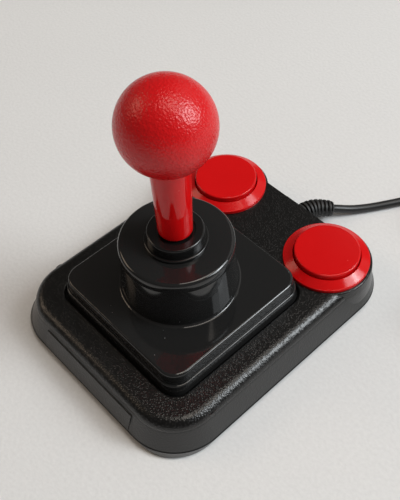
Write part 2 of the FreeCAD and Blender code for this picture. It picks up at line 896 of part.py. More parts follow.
# Switches
def make_switch_carrier():
    body = new_body("switch_carrier", 0, stick_y)
    foot = carrier_top - size.carrier_thickness
    halves = [half - size.carrier_gap for half in room_halves]
    profile = outline_sketch(body, "carrier_line", rounded_rectangle(*halves, room_corner), foot)
    draw(profile, *rounded_rectangle(gate_half, gate_half, size.gate_corner))
    for x, y in four(*boss_place):
        circle(profile, x, y, size.screw_radius + size.screw_gap)
    pad(body, "carrier", profile, size.carrier_thickness)
    pegs = []
    for x, y in four(switch_front + size.switch_hole_setback, size.switch_hole_pitch / 2):
        pegs.append((x, y))
        pegs.append((-y, x))
    pad(body, "pegs",
        circles_sketch(body, "peg_lines", pegs, size.switch_hole_radius - size.peg_gap, carrier_top),
        size.switch_height)


def make_microswitch(label, angle):
    """A sealed switch lying flat, its plunger towards the shaft."""
    foot = carrier_top
    case = box(f"{label}_case", size.switch_depth, size.switch_length, size.switch_height,
               switch_front, -size.switch_length / 2, foot)
    plunger = box(f"{label}_plunger", size.plunger_length, size.plunger_width, size.plunger_height,
                  plunger_tip, -size.plunger_width / 2, plunger_foot)
    solids = [case, plunger]
    for step in (-1, 0, 1):
        y = size.terminal_pitch * step - size.terminal_width / 2
        solids.append(box(f"{label}_terminal",
                          size.terminal_length, size.terminal_width, size.terminal_thickness,
                          switch_front + size.switch_depth, y, switch_middle))
    holes = []
    for step in (-1, 1):
        x = switch_front + size.switch_hole_setback
        y = size.switch_hole_pitch / 2 * step
        holes.append(cylinder(f"{label}_hole", size.switch_hole_radius, size.switch_height, x, y, foot))
    made = cut(label, fuse(f"{label}_solids", solids), fuse(f"{label}_holes", holes))
    made.Placement = FreeCAD.Placement(vec(0, 0, 0), FreeCAD.Rotation(UP, angle))
    place(made, 0, stick_y)
    keep(made, label)


# Push buttons
def make_button(side, x):
    y = button_y
    rim = size.case_top + size.bezel_rim
    stem_hole = size.stem_radius + size.stem_gap
    turned(f"button_bezel_{side}", [
        (stem_hole, barrel_foot),
        (barrel_radius, barrel_foot),
        (barrel_radius, size.case_top),
        (bezel_radius, size.case_top),
        (bezel_radius, rim - size.bezel_lip),
        (bezel_radius - size.bezel_lip, rim),
        (barrel_bore + size.bezel_lip, bezel_crest),
        (barrel_bore, bezel_crest - size.bezel_lip),
        (barrel_bore, barrel_floor_top),
        (stem_hole, barrel_floor_top),
    ], {4: (size.bezel_lip, 1), 6: (size.bezel_lip, 1)}, x, y)
    skirt_foot = barrel_floor_top + size.button_travel + size.leaf_gap
    crown_foot = button_top - size.button_crown
    groove_top = barrel_foot - size.stem_gap
    groove_foot = groove_top - size.clip_thickness
    neck = size.stem_radius - size.clip_groove
    turned(f"fire_button_{side}", [
        (0, stem_foot),
        (size.stem_radius, stem_foot),
        (size.stem_radius, groove_foot),
        (neck, groove_foot),
        (neck, groove_top),
        (size.stem_radius, groove_top),
        (size.stem_radius, crown_foot),
        (size.button_radius - size.button_wall, crown_foot),
        (size.button_radius - size.button_wall, skirt_foot),
        (size.button_radius, skirt_foot),
        (size.button_radius, button_top - size.button_edge),
        (size.button_radius - size.button_edge, button_top),
        (0, button_top),
    ], {10: (size.button_edge, 1)}, x, y)
    make_clip(f"button_clip_{side}", neck, size.stem_radius, groove_foot, x, y)
    turned(f"bezel_nut_{side}", [
        (barrel_radius + size.snug_gap, ceiling - size.nut_height),
        (nut_radius, ceiling - size.nut_height),
        (nut_radius, ceiling),
        (barrel_radius + size.snug_gap, ceiling),
    ], None, x, y)

    spring = new_body(f"button_spring_{side}", x, y)
    wire = sketch(spring, f"button_spring_{side}_wire", "XZ_Plane")
    wire_radius = size.spring_wire / 2
    circle(wire, size.spring_radius, barrel_floor_top + wire_radius, wire_radius)
    coil = feature(spring, "AdditiveHelix", f"button_spring_{side}_coil", wire)
    coil.ReferenceAxis = (wire, ["V_Axis"])
    coil.Mode = "height-turns-angle"
    bind(coil, "Height", crown_foot - barrel_floor_top - size.spring_wire)
    bind(coil, "Turns", size.spring_turns)


def make_leaf(label, sign, top, inner_end, rivet_foot):
    """A flat contact strip that runs from its block to under the stem, with a rivet below or on it."""
    outer_end = button_x + size.leaf_past_stem
    length = outer_end - inner_end
    x = inner_end if sign > 0 else -outer_end
    strip = box(f"{label}_strip", length, size.leaf_width, size.leaf_thickness,
                x, button_y - size.leaf_width / 2, top - size.leaf_thickness)
    rivet = cylinder(f"{label}_rivet", size.rivet_radius, size.rivet_height, button_x * sign, button_y,
                     rivet_foot)
    return keep(fuse(label, [strip, rivet]), label)


def make_contacts(side, sign):
    """The moving leaf lies under the button's stem and the fixed leaf below it, both held in one block."""
    moving_top = stem_foot - size.leaf_gap
    fixed_top = moving_top - size.leaf_spacing
    inner_end = size.block_inner - size.leaf_tab
    moving_foot = moving_top - size.leaf_thickness
    make_leaf(f"moving_leaf_{side}", sign, moving_top, inner_end, moving_foot - size.rivet_height)
    make_leaf(f"fixed_leaf_{side}", sign, fixed_top, inner_end, fixed_top)
    x = size.block_inner if sign > 0 else -(size.block_inner + size.block_length)
    height = moving_top + size.block_over - shell_foot
    block = box(f"contact_{side}_solid", size.block_length, size.block_width, height,
                x, button_y - size.block_width / 2, shell_foot)
    slots = []
    for top in (moving_top, fixed_top):
        slots.append(box(f"contact_{side}_slot", size.block_length, size.leaf_width, size.leaf_thickness,
                         x, button_y - size.leaf_width / 2, top - size.leaf_thickness))
    keep(cut(f"contact_block_{side}", block, fuse(f"contact_{side}_slots", slots)), f"contact_block_{side}")


# Fasteners
def screw(name, x, y, seat, length):
    """A pan-head screw driven upwards, its head against a seat."""
    head = cylinder(f"{name}_head", size.head_radius, size.head_height, x, y, seat - size.head_height)
    shank = cylinder(f"{name}_shank", size.screw_radius - size.snug_gap * 2, length, x, y, seat)
    return fuse(name, [head, shank])


def make_screws():
    seat = size.foot_height + size.head_height
    group("case_screws", [screw("case_screw", x, y, seat, size.screw_length) for x, y in case_screw_places])
    seat = carrier_top - size.carrier_thickness
    group("carrier_screws", [
        screw("carrier_screw", x, y + stick_y, seat, size.screw_length - size.head_height)
        for x, y in four(*boss_place)
    ])


# Lead, its places measured from below the middle of the exit face
CORD_ROUTE = [
    (0.0, -5.6, 7.0),
    (0.0, 5.4, 7.0),
    (6.5, 13.8, 5.1),
    (13.3, 23.8, 1.75),
    (22.7, 39.5, 1.75),
    (35.1, 63.1, 1.75),
    (40.5, 73.1, 3.75),
]
COIL_CENTRE = (60.4, 62.4)
TAIL_ROUTE = [
    (79.1, 73.2, 7.0),
    (87.1, 61.0, 6.4),
    (91.5, 51.8, 7.5),
    (91.5, 42.8, 7.5),
]
BOOT_SHARE_OF_BEND = 0.47
BOOT_TAPER = 0.45
ARC_SHARE = 0.45
GRIP_COUNT = 5


def from_exit(x, y, z):
    return vec(x, number(exit_face) + y, z)


def route_edges(route):
    """Straight runs joined by tangent arcs as large as the runs allow."""
    points = [from_exit(*point) for point in route]
    edges = []
    start = points[0]
    for before, corner, after in zip(points, points[1:], points[2:]):
        back = before - corner
        ahead = after - corner
        reach = ARC_SHARE * min(back.Length, ahead.Length)
        half_turn = (math.pi - back.getAngle(ahead)) / 2
        radius = reach / math.tan(half_turn)
        back.normalize()
        ahead.normalize()
        bisector = (back + ahead).normalize()
        middle = corner + bisector * (radius / math.cos(half_turn) - radius)
        first = corner + back * reach
        last = corner + ahead * reach
        edges.append(Part.LineSegment(start, first).toShape())
        edges.append(Part.Arc(first, middle, last).toShape())
        print(f"cord bend radius {radius:.1f}")
        start = last
    edges.append(Part.LineSegment(start, points[-1]).toShape())
    return edges


def tube(edges, radius):
    """A round tube along a path, its volume compared with its section times its length."""
    wire = Part.Wire(edges)
    first = edges[0]
    heading = first.tangentAt(first.FirstParameter)
    ring = Part.Wire(Part.makeCircle(radius, first.valueAt(first.FirstParameter), heading))
    shape = wire.makePipeShell([ring], True, False)
    expected = math.pi * radius**2 * wire.Length
    if abs(shape.Volume / expected - 1) > 0.01:
        raise ValueError("tube volume differs from its section times its length")
    return shape


def point_along(edges, distance):
    """The point and heading at a distance along a path."""
    for edge in edges:
        if distance <= edge.Length:
            place_on = edge.getParameterByLength(distance)
            return edge.valueAt(place_on), edge.tangentAt(place_on)
        distance -= edge.Length
    raise ValueError("distance past the end of the path")


def solid_node(label, shape):
    made = doc.addObject("Part::Feature", label)
    made.Shape = shape
    return keep(made, label)


def make_lead():
    radius = number(size.cord_radius)
    edges = route_edges(CORD_ROUTE)
    cord = tube(edges, radius)
    solid_node("cord", cord)

    wall = number(exit_face)
    inner = number(exit_inner)
    height = number(size.cord_height)
    along = vec(0, 1, 0)
    lip_thickness = number(size.boot_lip_thickness)
    lip = Part.makeCylinder(number(size.exit_hole + size.boot_lip), lip_thickness,
                            vec(0, inner - lip_thickness, height), along)
    neck = Part.makeCylinder(number(size.exit_hole) - number(size.snug_gap), wall - inner,
                             vec(0, inner, height), along)
    first = edges[0]
    bend = edges[3]
    tip = bend.getParameterByLength(bend.Length * BOOT_SHARE_OF_BEND)
    path = [
        Part.LineSegment(vec(0, wall, height), first.valueAt(first.LastParameter)).toShape(),
        edges[1],
        edges[2],
        bend.Curve.toShape(bend.FirstParameter, tip),
    ]
    core = tube(path, number(size.boot_tip_radius))
    spread = number(size.boot_foot_radius) - number(size.boot_tip_radius)
    width = number(size.boot_rib_width)
    length = sum(edge.Length for edge in path)
    count = int(length / (2 * width))
    ribs = []
    for index in range(count):
        share = index / count
        foot, heading = point_along(path, share * length)
        crest = number(size.boot_foot_radius) - spread * share * BOOT_TAPER
        ribs.append(Part.makeCylinder(crest, width, foot, heading))
    bore = tube(edges, radius + number(size.snug_gap))
    solid_node("strain_relief", lip.fuse([neck, core] + ribs).cut(bore))

    section = number(size.coil_section)
    lift = section + number(size.tie_thickness)
    coil_radius = number(size.coil_radius)
    centre = from_exit(*COIL_CENTRE, lift)
    coil = Part.makeTorus(coil_radius, section, centre, UP)
    solid_node("cord_coil", coil)
    tie_outer = section + number(size.tie_thickness)
    tie_width = number(size.tie_width)
    tie_start = centre - vec(tie_width / 2, coil_radius, 0)
    ring = Part.makeCylinder(tie_outer, tie_width, tie_start, vec(1, 0, 0))
    solid_node("cord_tie", ring.cut(coil))
    solid_node("cord_tail", tube(route_edges(TAIL_ROUTE), radius))


def plug_body(label):
    """A body at the end of the lead, its own X axis towards the player."""
    x, y, z = TAIL_ROUTE[-1]
    body = new_body(label)
    body.Placement = FreeCAD.Placement(vec(0, 0, 0), FreeCAD.Rotation(UP, -90))
    return place(body, x, exit_face + y, z)


def make_plug():
    """A nine-way D plug: a moulded hood with a round cord neck, and a metal D-shaped shell with sockets."""
    hood = plug_body("plug_hood")
    half_width = size.hood_width / 2
    half_height = size.hood_height / 2
    pad(hood, "hood_neck",
        circles_sketch(hood, "hood_neck_line", [(0, 0)], size.hood_neck_radius, 0, "YZ_Plane"),
        size.hood_neck_length)
    slim = rounded_rectangle(half_width - size.hood_waist, half_height - size.hood_slope, size.hood_edge)
    full = rounded_rectangle(half_width, half_height, size.hood_edge)
    shoulder = size.hood_neck_length + size.hood_taper
    loft(hood, "hood_shoulder",
         outline_sketch(hood, "hood_slim_line", slim, size.hood_neck_length, "YZ_Plane"),
         outline_sketch(hood, "hood_shoulder_line", full, shoulder, "YZ_Plane"))
    case = pad(hood, "hood_case", outline_sketch(hood, "hood_line", full, shoulder, "YZ_Plane"),
               size.hood_length - shoulder)
    dress(hood, "Fillet", "hood_front", case, "Radius", size.hood_round,
          lambda edge: all(abs(corner.X - number(size.hood_length)) < 1e-4 for corner in edge.Vertexes))
    grips = sketch(hood, "grip_lines", "XY_Plane", (0, 0, -half_height))
    low = half_width - size.grip_depth
    high = half_width + size.grip_depth
    for index in range(GRIP_COUNT):
        start = shoulder + size.grip_pitch * index
        stop = start + size.grip_width
        draw(grips, [(start, low), (stop, low), (stop, high), (start, high)])
        draw(grips, [(start, -high), (stop, -high), (stop, -low), (start, -low)])
    pocket(hood, "grips", grips, size.hood_height)

    shell = plug_body("plug_shell")
    profile = outline_sketch(shell, "dee_line", (dee_outline(0), None), size.hood_length, "YZ_Plane")
    draw(profile, dee_outline(size.dee_wall))
    pad(shell, "dee", profile, size.dee_length)

    insert = plug_body("plug_insert")
    filling = outline_sketch(insert, "insert_line", (dee_outline(size.dee_wall + size.snug_gap), None),
                             size.hood_length, "YZ_Plane")
    pad(insert, "insert", filling, size.dee_length - size.dee_wall)
    sockets = []
    for row, count in ((1, 5), (-1, 4)):
        for index in range(count):
            sockets.append((size.socket_pitch * (index - (count - 1) / 2), size.socket_row / 2 * row))
    depth = size.socket_depth
    face = circles_sketch(insert, "socket_lines", sockets, size.socket_radius,
                          size.hood_length + size.dee_length - size.dee_wall - depth, "YZ_Plane")
    pocket(insert, "sockets", face, depth)


def dee_outline(inset):
    """A four-sided D, wider above than below."""
    top = size.dee_width / 2 - inset
    low = top - size.dee_slope
    half = size.dee_height / 2 - inset
    return [(-low, -half), (low, -half), (top, half), (-top, half)]


make_top_shell()
make_base_plate()
make_rubber_feet()
make_stick_housing()
make_collar_cap()
make_centring_grommet()
make_stick()
make_switch_carrier()
for name, turn in (("right", 0), ("back", 90), ("left", 180), ("front", 270)):
    make_microswitch(f"microswitch_{name}", turn)
for name, way in (("left", -1), ("right", 1)):
    make_button(name, button_x * way)
    make_contacts(name, way)
make_screws()
make_lead()
make_plug()
doc.recompute()

# Every object has to be sound before any file is written
for thing in doc.Objects:
    if "Invalid" in thing.State or "Error" in thing.State:
        raise ValueError(f"{thing.Label} failed: {thing.State}")
for piece in pieces:
    if piece.Shape.isNull() or not piece.Shape.isValid() or not piece.Shape.Solids:
        raise ValueError(f"{piece.Label} has no sound shape")

os.makedirs("parts", exist_ok=True)
for piece in pieces:
    piece.Shape.exportStep(f"parts/{piece.Label}.step")
print(f"{len(pieces)} sub-parts written")
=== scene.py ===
import math

import bmesh
import bpy
from mathutils import Matrix, Vector


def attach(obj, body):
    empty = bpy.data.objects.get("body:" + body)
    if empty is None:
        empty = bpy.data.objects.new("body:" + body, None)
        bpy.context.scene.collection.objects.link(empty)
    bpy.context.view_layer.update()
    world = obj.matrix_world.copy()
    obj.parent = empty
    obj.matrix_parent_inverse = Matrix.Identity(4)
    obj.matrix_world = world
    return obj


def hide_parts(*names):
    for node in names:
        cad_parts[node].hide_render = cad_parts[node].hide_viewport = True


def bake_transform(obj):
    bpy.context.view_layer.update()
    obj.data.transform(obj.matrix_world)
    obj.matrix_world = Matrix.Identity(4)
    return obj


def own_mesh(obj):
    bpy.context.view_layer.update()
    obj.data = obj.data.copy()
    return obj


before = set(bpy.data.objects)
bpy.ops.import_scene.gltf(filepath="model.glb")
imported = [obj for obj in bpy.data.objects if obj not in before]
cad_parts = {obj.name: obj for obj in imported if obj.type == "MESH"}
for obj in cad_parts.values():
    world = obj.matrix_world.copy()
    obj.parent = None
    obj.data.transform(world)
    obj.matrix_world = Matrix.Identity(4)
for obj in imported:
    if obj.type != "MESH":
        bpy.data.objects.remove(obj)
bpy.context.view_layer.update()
scene = bpy.context.scene
scene.view_settings.view_transform = "Standard"
MM = 0.001


# Camera
def put_camera(target, distance, yaw, pitch, roll, lens):
    """Metres and radians, with the lens in millimetres for a sensor 36 mm wide."""
    back = Vector((math.sin(yaw) * math.cos(pitch), -math.cos(yaw) * math.cos(pitch), math.sin(pitch)))
    right = Vector((math.cos(yaw), math.sin(yaw), 0))
    up = back.cross(right)
    across = right * math.cos(roll) + up * math.sin(roll)
    upwards = up * math.cos(roll) - right * math.sin(roll)
    data = bpy.data.cameras.new("camera")
    data.lens = lens
    data.sensor_width = 36
    data.clip_start = 0.01
    camera = bpy.data.objects.new("camera", data)
    turn = Matrix((across, upwards, back)).transposed().to_4x4()
    camera.matrix_world = Matrix.Translation(Vector(target) + back * distance) @ turn
    scene.collection.objects.link(camera)
    scene.camera = camera


put_camera(target=(-0.000409, -0.000328, 0.03), distance=0.277175, yaw=0.864, pitch=0.891, roll=-0.056,
           lens=55.06)


# Light
def soft_box(name, direction, distance, width, height, watts, colour):
    """A lamp in metres and watts, that far off in its direction and turned towards the object."""
    data = bpy.data.lights.new(name, "AREA")
    data.shape = "RECTANGLE"
    data.size = width
    data.size_y = height
    data.energy = watts
    data.color = colour
    lamp = bpy.data.objects.new(name, data)
    way = Vector(direction).normalized()
    lamp.location = way * distance
    lamp.rotation_euler = way.to_track_quat("Z", "Y").to_euler()
    scene.collection.objects.link(lamp)


DAYLIGHT = (0.92, 0.97, 1.0)
soft_box("window_light", direction=(0.60, 0.49, 0.63), distance=2.4, width=1.2, height=1.5, watts=44,
         colour=DAYLIGHT)
soft_box("window_core", direction=(0.58, 0.50, 0.65), distance=2.3, width=0.4, height=0.5, watts=9,
         colour=DAYLIGHT)
soft_box("ceiling_light", direction=(0.12, 0.16, 0.98), distance=1.6, width=0.7, height=0.7, watts=6.5,
         colour=(1.0, 0.92, 0.83))
soft_box("back_light", direction=(0.0, 0.8, 0.6), distance=2.4, width=2.0, height=1.4, watts=4,
         colour=(1.0, 0.97, 0.93))
soft_box("room_light", direction=(-0.68, -0.40, 0.62), distance=2.2, width=1.0, height=0.8, watts=6.5,
         colour=(1.0, 0.78, 0.58))
world = bpy.data.worlds.new("room")
world.use_nodes = True
room = world.node_tree.nodes["Background"].inputs
room["Color"].default_value = (1.0, 0.93, 0.86, 1)
room["Strength"].default_value = 0.11
scene.world = world


# Finishes
class Wire:
    """A socket of a finish. Sums on it add Math nodes."""

    def __init__(self, finish, socket):
        self.finish = finish
        self.socket = socket

    def sum(self, operation, first, second):
        return self.finish.node("ShaderNodeMath", {"operation": operation}, {0: first, 1: second})

    def __add__(self, other):
        return self.sum("ADD", self, other)

    def __radd__(self, other):
        return self.sum("ADD", other, self)

    def __rsub__(self, other):
        return self.sum("SUBTRACT", other, self)

    def __mul__(self, other):
        return self.sum("MULTIPLY", self, other)

    def __rmul__(self, other):
        return self.sum("MULTIPLY", other, self)

    def __lt__(self, other):
        return self.sum("LESS_THAN", self, other)


class Finish:
    """A material on the piece's own place, with its nodes. Sizes and depths are in metres."""

    def __init__(self, name):
        self.material = bpy.data.materials.new(name)
        self.material.use_nodes = True
        self.tree = self.material.node_tree
        self.shader = self.tree.nodes["Principled BSDF"]
        self.place = self.node("ShaderNodeTexCoord", output="Object")

    def node(self, kind, settings=None, sockets=None, output=0):
        made = self.tree.nodes.new(kind)
        for key, value in (settings or {}).items():
            setattr(made, key, value)
        for key, value in (sockets or {}).items():
            self.feed(made.inputs[key], value)
        return Wire(self, made.outputs[output])

    def feed(self, target, value):
        if isinstance(value, Wire):
            self.tree.links.new(value.socket, target)
        else:
            target.default_value = value

    def set(self, sockets):
        for key, value in sockets.items():
            self.feed(self.shader.inputs[key], value)
        return self.material

    def noise(self, size, detail):
        return self.node("ShaderNodeTexNoise", None,
                         {"Vector": self.place, "Scale": 1 / size, "Detail": detail})

    def blend(self, factor, first, second):
        return self.node("ShaderNodeMix", {"data_type": "RGBA"}, {0: factor, 6: first, 7: second}, 2)

    def ramp(self, value, start, end):
        """Rises smoothly from 0 at start to 1 at end."""
        return self.node("ShaderNodeMapRange", {"interpolation_type": "SMOOTHSTEP"},
                         {"Value": value, "From Min": start, "From Max": end})

    def cells(self, spacing, output):
        return self.node("ShaderNodeTexVoronoi", None, {"Vector": self.place, "Scale": 1 / spacing}, output)

    def pebbles(self, spacing):
        """Distance from the middle of irregular cells, in cells."""
        return self.cells(spacing, "Distance")

    def specks(self, spacing, size, share):
        """Small separate spots, a share of the cells having one."""
        chosen = self.node("ShaderNodeSeparateColor", None, {0: self.cells(spacing, "Color")}, "Red")
        rim = size / spacing
        return self.ramp(self.pebbles(spacing), rim, rim * 0.5) * (chosen < share)

    def height(self):
        return self.node("ShaderNodeSeparateXYZ", None, {0: self.place}, "Z")

    def bump(self, height, depth):
        return self.node("ShaderNodeBump", None, {"Strength": 1.0, "Distance": depth, "Height": height})


def grey(level, warm=0.0):
    return (level * (1 + warm), level, level * (1 - warm), 1)


def spark_black():
    """Eroded moulding: sharp grain on the top and shoulders, softer on the skirt, whose paler colour is a
    painted reflection of the table, and a dull lower lip darkened as painted shade where the shell meets the
    cover plate.
    """
    finish = Finish("spark_black")
    grain = finish.ramp(finish.pebbles(0.74 * MM), start=0.62, end=0.08)
    smear = finish.noise(20 * MM, 3.0)
    height = finish.height()
    # Below the shoulders the skirt gets a paler colour than the top: a painted reflection of the table in
    # the side walls.
    above_skirt = finish.ramp(height, start=10.5 * MM, end=12.0 * MM)
    # Below this the lowest band of the shell gets the darkest colour, painted shade standing for the dark
    # gap where the shell meets the cover plate; it is also made dull.
    above_painted_gap_shade = finish.ramp(height, start=3.2 * MM, end=3.6 * MM)
    pale = (grain * above_skirt * 0.25 + (1 - above_skirt)) * above_painted_gap_shade
    return finish.set({
        "Base Color": finish.blend(pale, grey(0.002), grey(0.026)),
        "Roughness": 0.25 + smear * 0.08 + (1 - above_painted_gap_shade) * 0.7,
        "Normal": finish.bump(grain * (0.75 + 0.25 * above_skirt), 0.055 * MM),
    })


def polished_black():
    """Polished moulding with a faint wave and a little dust."""
    finish = Finish("polished_black")
    dust = finish.specks(spacing=2.6 * MM, size=0.21 * MM, share=0.12)
    wave = finish.noise(14 * MM, 1.0)
    haze = finish.noise(30 * MM, 3.0)
    return finish.set({
        "Base Color": finish.blend(dust * 0.7, grey(0.013), grey(0.25)),
        "Roughness": 0.05 + haze * 0.04 + dust * 0.4,
        "Normal": finish.bump(wave, 0.01 * MM),
    })


def gloss_red(name, rough):
    """Glossy moulded red with slight flow marks and a few dust specks."""
    finish = Finish(name)
    dust = finish.specks(spacing=3 * MM, size=0.2 * MM, share=0.06)
    flow = finish.noise(18 * MM, 2.0)
    tint = finish.blend(flow, (0.575, 0.0035, 0.0045, 1), (0.625, 0.0045, 0.0055, 1))
    return finish.set({
        "Base Color": finish.blend(dust * 0.5, tint, (0.80, 0.30, 0.28, 1)),
        "Roughness": rough + flow * 0.04 + dust * 0.3,
        "Specular IOR Level": 0.32,
        "Normal": finish.bump(flow, 0.02 * MM),
    })


def satin_red():
    """The ball: red with an orange-peel skin worn smoother in places."""
    finish = Finish("satin_red")
    peel = finish.noise(0.75 * MM, 1.0)
    wear = finish.noise(12 * MM, 3.0)
    return finish.set({
        "Base Color": finish.blend(wear, (0.56, 0.004, 0.006, 1), (0.62, 0.006, 0.008, 1)),
        "Roughness": 0.20 + wear * 0.12,
        "Specular IOR Level": 0.40,
        "Normal": finish.bump(peel, 0.22 * MM),
    })


def even_finish(name, dark, light, rough, spread, patch, skin, depth):
    """Plastic or rubber whose colour and gloss vary in patches.
    Patch and skin each give a noise's size and detail."""
    finish = Finish(name)
    mottle = finish.noise(*patch)
    return finish.set({
        "Base Color": finish.blend(mottle, dark, light),
        "Roughness": rough + mottle * spread,
        "Normal": finish.bump(finish.noise(*skin), depth),
    })


def seal_rubber():
    return even_finish("seal_rubber", grey(0.004), grey(0.009), rough=0.12, spread=0.12,
                       patch=(8 * MM, 2.0), skin=(0.9 * MM, 3.0), depth=0.02 * MM)


def matt_rubber():
    return even_finish("matt_rubber", grey(0.010), grey(0.022), rough=0.45, spread=0.15,
                       patch=(6 * MM, 3.0), skin=(0.7 * MM, 3.0), depth=0.03 * MM)


def sheath_black():
    return even_finish("sheath_black", grey(0.009), grey(0.017), rough=0.3, spread=0.14,
                       patch=(15 * MM, 3.0), skin=(1.2 * MM, 2.0), depth=0.03 * MM)


def satin_black(name, dark, light, rough):
    """Plain moulded black, as on the carrier and the plug's hood. On the cover plate it is made a paler
    grey, as a painted reflection of the table.
    """
    return even_finish(name, grey(dark), grey(light), rough=rough, spread=0.12,
                       patch=(14 * MM, 3.0), skin=(0.5 * MM, 3.0), depth=0.04 * MM)


def plain_plastic(name, dark, light):
    return even_finish(name, dark, light, rough=0.35, spread=0.15,
                       patch=(6 * MM, 3.0), skin=(0.6 * MM, 2.0), depth=0.02 * MM)


def bare_metal(name, dark, light, rough, patch, streak):
    """Metal with a fine streaky skin. Patch and streak are sizes."""
    finish = Finish(name)
    skin = finish.noise(streak, 3.0)
    return finish.set({
        "Base Color": finish.blend(finish.noise(patch, 3.0), dark, light),
        "Metallic": 1.0,
        "Roughness": rough + skin * 0.2,
        "Normal": finish.bump(skin, 0.01 * MM),
    })


def plated_steel():
    return bare_metal("plated_steel", grey(0.48), grey(0.62, warm=0.02), rough=0.22, patch=4 * MM,
                      streak=0.4 * MM)


def spring_brass():
    return bare_metal("spring_brass", (0.70, 0.50, 0.22, 1), (0.80, 0.62, 0.32, 1), rough=0.25, patch=5 * MM,
                      streak=0.5 * MM)


def pale_table():
    """A pale matt board, faintly clouded, with a fine even grain."""
    finish = Finish("pale_table")
    cloud = finish.noise(120 * MM, 3.0)
    weave = finish.noise(1.4 * MM, 1.0)
    tone = cloud * 0.3 + weave * 0.7
    return finish.set({
        "Base Color": finish.blend(tone, (0.655, 0.651, 0.647, 1), (0.775, 0.771, 0.766, 1)),
        "Roughness": 0.5 + weave * 0.15,
        "Specular IOR Level": 0.15,
        "Normal": finish.bump(weave, 0.08 * MM),
    })


polish = polished_black()
red = gloss_red("gloss_red", rough=0.13)
rubber = matt_rubber()
steel = plated_steel()
brass = spring_brass()
moulding = satin_black("moulded_black", dark=0.012, light=0.024, rough=0.38)
brown = plain_plastic("switch_brown", dark=(0.055, 0.014, 0.011, 1), light=(0.085, 0.022, 0.017, 1))
finishes = {
    "top_shell": spark_black(),
    # The cover plate's pale grey is a painted reflection of the table on its edge below the shell.
    "base_plate": satin_black("cover_grey_painted_reflection", dark=0.11, light=0.14, rough=0.42),
    "rubber_feet": rubber,
    "stick_housing": polish,
    "shaft_sleeve": gloss_red("sleeve_red", rough=0.035),
    "ball_knob": satin_red(),
    "actuator_bush": plain_plastic("nylon_white", dark=(0.62, 0.60, 0.55, 1), light=(0.70, 0.68, 0.63, 1)),
}
for name in ("plug_hood", "plug_insert", "cord_tie", "switch_carrier"):
    finishes[name] = moulding
for name in ("steel_shaft", "shaft_washer", "upper_clip", "lower_clip"):
    finishes[name] = steel
for name in ("case_screws", "carrier_screws", "plug_shell"):
    finishes[name] = steel
for place in ("front", "back", "left", "right"):
    finishes[f"microswitch_{place}"] = brown
for place in ("left", "right"):
    finishes[f"button_bezel_{place}"] = red
    finishes[f"fire_button_{place}"] = red
    finishes[f"button_clip_{place}"] = steel
    finishes[f"bezel_nut_{place}"] = moulding
    finishes[f"contact_block_{place}"] = moulding
for name, finish in finishes.items():
    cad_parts[name].material_slots[0].material = finish


# Lead
CORD_RADIUS = 1.75 * MM
EXIT = (0.0, 0.0534, 0.007)
ROUTE = [
    (0.0, 0.0478, 0.007),
    (0.0, 0.0588, 0.007),
    (0.0065, 0.0672, 0.0051),
    (0.0133, 0.0772, 0.00175),
    (0.0227, 0.0929, 0.00175),
    (0.0351, 0.1165, 0.00175),
]
TAIL = [
    (0.0871, 0.1144, 0.0064),
    (0.0915, 0.1052, 0.0075),
    (0.0915, 0.0962, 0.0075),
]
COIL_CENTRE = Vector((0.0604, 0.1158, 0.007))
COIL_RADIUS = 19.25 * MM
COIL_ENTRY = 151.8
COIL_EXIT = 30
STEPS_PER_TURN = 36
# A section of the coil: eight places round a ring and one in its middle, in the order that turns fill them
STRAND_RING = 4.6 * MM
STRAND_ANGLES = (-45, -90, -135, 180, None, 135, 90, 45, 0)
# How far into each turn, in degrees, its strand begins to move on to the next place, and over how many
SHIFTS = (0, 156, 145, 130, 112, 54, 36, 18, 0)
SHIFT_LENGTH = 100


def strand_place(index):
    angle = STRAND_ANGLES[index]
    if angle is None:
        return Vector((0, 0))
    return STRAND_RING * Vector((math.cos(math.radians(angle)), math.sin(math.radians(angle))))


def coil_points():
    """Turns laid beside and on each other: in each turn one strand moves on to the next free place."""
    first = 360 - (COIL_ENTRY - COIL_EXIT)
    last = 360 * len(STRAND_ANGLES)
    count = round((last - first) / 360 * STEPS_PER_TURN)
    points = []
    for step in range(count + 1):
        wound = first + (last - first) * step / count
        turn = min(int(wound // 360), len(STRAND_ANGLES) - 1)
        share = min(max((wound - 360 * turn - SHIFTS[turn]) / SHIFT_LENGTH, 0), 1)
        share = 2 * share * share if share < 0.5 else 1 - 2 * (1 - share) ** 2
        strand = strand_place(max(turn - 1, 0)).lerp(strand_place(turn), share)
        angle = math.radians(COIL_EXIT - wound)
        reach = COIL_RADIUS + strand.x
        points.append(COIL_CENTRE + Vector((reach * math.cos(angle), reach * math.sin(angle), strand.y)))
    return points


def make_lead():
    """The lead's curve, and the points of its middle line."""
    points = [Vector(point) for point in ROUTE] + coil_points() + [Vector(point) for point in TAIL]
    curve = bpy.data.curves.new("lead", "CURVE")
    curve.dimensions = "3D"
    spline = curve.splines.new("NURBS")
    spline.points.add(len(points) - 1)
    for place, point in zip(spline.points, points):
        place.co = (*point, 1)
    spline.order_u = 3
    spline.use_endpoint_u = True
    spline.resolution_u = 6
    lead = bpy.data.objects.new("lead", curve)
    scene.collection.objects.link(lead)
    bpy.context.view_layer.update()
    line = bpy.data.meshes.new_from_object(lead.evaluated_get(bpy.context.evaluated_depsgraph_get()))
    path = [vertex.co.copy() for vertex in line.vertices]
    bpy.data.meshes.remove(line)
    curve.bevel_depth = CORD_RADIUS
    curve.bevel_resolution = 5
    curve.use_fill_caps = True
    curve.materials.append(sheath_black())
    return lead, path


lead, lead_path = make_lead()


